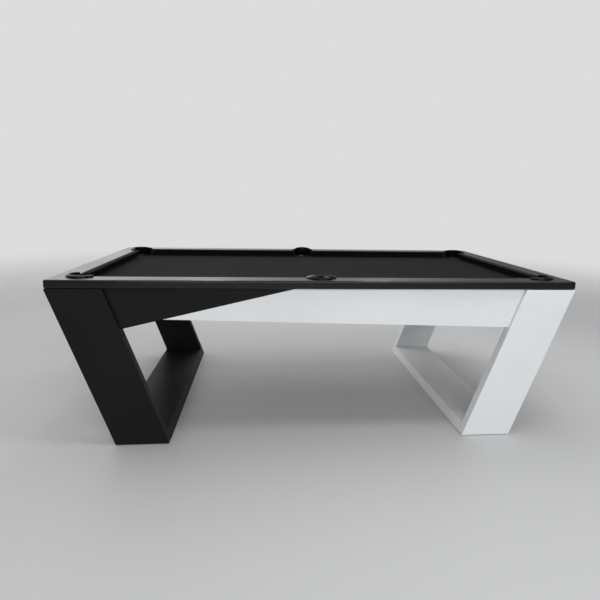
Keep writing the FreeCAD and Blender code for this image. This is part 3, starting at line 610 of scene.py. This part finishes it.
def pocket_trims(materials):
    wood = math.degrees(math.acos((CUSHION_DEPTH - CORNER_OUT) / CORNER_CUT))
    sweep = 90 + 2 * wood - 3
    for place_name, (sx, sy) in CORNERS.items():
        facing = math.degrees(math.atan2(sy, sx))
        pocket_trim(f"rubber_trim_{place_name}", f"pocket_trim_{place_name}", sx * CORNER_X,
                    sy * CORNER_Y, facing, sweep, CORNER_CUT, CORNER_FLANGE, CORNER_RIDGE, materials)
    wood = math.degrees(math.asin((CUSHION_DEPTH - SIDE_OUT) / SIDE_CUT))
    sweep = 180 - 2 * wood - 3
    for place_name, sy in SIDES.items():
        pocket_trim(f"rubber_trim_{place_name}_middle", f"pocket_trim_{place_name}_middle", 0,
                    sy * SIDE_Y, 90 * sy, sweep, SIDE_CUT, SIDE_FLANGE, SIDE_RIDGE, materials)


# ---------------------------------------------------------------- stage, light and camera


FLOOR_TONE = (0.60, 0.605, 0.61)
BACKDROP_TONE = (0.72, 0.72, 0.725)
FLOOR_HALF = 40.0
FADE_START = 2.6  # metres from the middle of the table, where the floor starts to melt away
FADE_END = 9.0


def make_floor():
    """A pale floor that melts into the backdrop, as a studio sweep does."""
    m = Shader("pale_floor", FLOOR_TONE, 0.5, Specular_IOR_Level=0.3)
    m.rough(m.levels(m.noise(1.5, 3.0), 0.45, 0.55))
    distance = m.node("ShaderNodeVectorMath", operation="LENGTH")
    m.join(m.place, distance.inputs[0])
    fade = m.node("ShaderNodeMapRange", interpolation_type="SMOOTHSTEP")
    for socket, value in (("From Min", FADE_START), ("From Max", FADE_END), ("To Min", 1), ("To Max", 0)):
        fade.inputs[socket].default_value = value
    m.join(distance.outputs["Value"], fade.inputs["Value"])
    m.join(fade.outputs["Result"], m.surface.inputs["Alpha"])
    size = FLOOR_HALF
    corners = [(-size, -size, 0), (size, -size, 0), (size, size, 0), (-size, size, 0)]
    floor = new_object("floor", mesh_from("floor", corners, [(0, 1, 2, 3)]))
    floor.data.materials.append(m.material)


def area_light(name, at, look, width, height, power):
    light = bpy.data.lights.new(name, "AREA")
    light.shape = "RECTANGLE"
    light.size, light.size_y = width, height
    light.energy = power
    lamp = bpy.data.objects.new(name, light)
    lamp.location = at
    lamp.rotation_euler = (Vector(look) - Vector(at)).to_track_quat("-Z", "Y").to_euler()
    bpy.context.scene.collection.objects.link(lamp)


def make_lights():
    area_light("overhead", (0.0, 0.3, 3.6), (0, 0, 0.5), 5.0, 3.5, 30)
    area_light("rear_strip_left", (-0.9, 2.6, 2.7), (-0.3, 0, 0.8), 0.3, 1.2, 9)
    area_light("rear_strip_right", (1.1, 2.6, 2.7), (0.3, 0, 0.8), 0.3, 1.2, 8)
    area_light("edge_lamp", (1.7, -1.3, 3.0), (1.7, -0.7, 0.8), 2.2, 0.5, 22)
    area_light("front", (0.3, -5.8, 2.5), (0.3, 0, 0.5), 5.0, 2.6, 150)


SKY_ACROSS = [
    (-1.0, 0.85), (-0.35, 1.1), (-0.15, 0.9), (0.05, 0.52), (0.25, 0.45), (0.45, 0.2), (1.0, 0.3),
]
SKY_FRONT = 0.28


def make_world():
    """Soft surroundings for light and gloss, brighter at the back and on the left; the camera
    sees a plain pale backdrop in their place."""
    world = bpy.data.worlds.new("studio")
    world.use_nodes = True
    tree = world.node_tree
    backdrop = tree.nodes["Background"]
    backdrop.inputs["Color"].default_value = (*BACKDROP_TONE, 1)
    room = tree.nodes.new("ShaderNodeBackground")
    place = tree.nodes.new("ShaderNodeTexCoord")
    split = tree.nodes.new("ShaderNodeSeparateXYZ")
    tree.links.new(place.outputs["Generated"], split.inputs["Vector"])
    across = tree.nodes.new("ShaderNodeValToRGB")
    shift = tree.nodes.new("ShaderNodeMapRange")
    shift.inputs["From Min"].default_value = -1.0
    tree.links.new(split.outputs["X"], shift.inputs["Value"])
    tree.links.new(shift.outputs["Result"], across.inputs["Fac"])
    stops = across.color_ramp.elements
    stops[0].position, stops[1].position = 0.0, 1.0
    for side, _ in SKY_ACROSS[1:-1]:
        stops.new((side + 1) / 2)
    for stop, (side, tone) in zip(stops, SKY_ACROSS):
        stop.color = (tone, tone, tone * 1.01, 1)
    behind = tree.nodes.new("ShaderNodeMapRange")
    behind.interpolation_type = "SMOOTHSTEP"
    behind.inputs["From Min"].default_value = -0.35
    behind.inputs["From Max"].default_value = 0.35
    tree.links.new(split.outputs["Y"], behind.inputs["Value"])
    tone = tree.nodes.new("ShaderNodeMix")
    tone.data_type = "RGBA"
    tone.inputs["A"].default_value = (SKY_FRONT, SKY_FRONT, SKY_FRONT, 1)
    tree.links.new(behind.outputs["Result"], tone.inputs["Factor"])
    tree.links.new(across.outputs["Color"], tone.inputs["B"])
    tree.links.new(tone.outputs["Result"], room.inputs["Color"])
    path = tree.nodes.new("ShaderNodeLightPath")
    chosen = tree.nodes.new("ShaderNodeMixShader")
    tree.links.new(path.outputs["Is Camera Ray"], chosen.inputs[0])
    tree.links.new(room.outputs[0], chosen.inputs[1])
    tree.links.new(backdrop.outputs[0], chosen.inputs[2])
    tree.links.new(chosen.outputs[0], tree.nodes["World Output"].inputs["Surface"])
    bpy.context.scene.world = world


CAMERA_AT = Vector((-0.278, -2.889, 1.185))
CAMERA_YAW = math.radians(-5.76)
CAMERA_PITCH = math.radians(10.86)
CAMERA_ROLL = math.radians(1.22)
SENSOR = 36.0
LENS = SENSOR * 0.8053  # the focal length as a share of the picture's width
SHIFT = (-0.0195, -0.0180)


def make_camera():
    yaw, pitch, roll = CAMERA_YAW, CAMERA_PITCH, CAMERA_ROLL
    ahead = Vector((-math.sin(yaw) * math.cos(pitch), math.cos(yaw) * math.cos(pitch), -math.sin(pitch)))
    right = Vector((math.cos(yaw), math.sin(yaw), 0))
    up = right.cross(ahead)
    tilted_right = right * math.cos(roll) + up * math.sin(roll)
    tilted_up = up * math.cos(roll) - right * math.sin(roll)
    data = bpy.data.cameras.new("camera")
    data.sensor_width = SENSOR
    data.lens = LENS
    data.shift_x, data.shift_y = SHIFT
    data.clip_end = 200
    camera = bpy.data.objects.new("camera", data)
    turn = Matrix((tilted_right, tilted_up, -ahead)).transposed()
    camera.matrix_world = Matrix.Translation(CAMERA_AT) @ turn.to_4x4()
    bpy.context.scene.collection.objects.link(camera)
    bpy.context.scene.camera = camera


bpy.context.scene.view_settings.view_transform = "Standard"
make_camera()
materials = make_materials()
finish_cad_nodes(materials)
bed_cloth(materials)
cushions(materials)
pocket_trims(materials)
make_floor()
make_lights()
make_world()
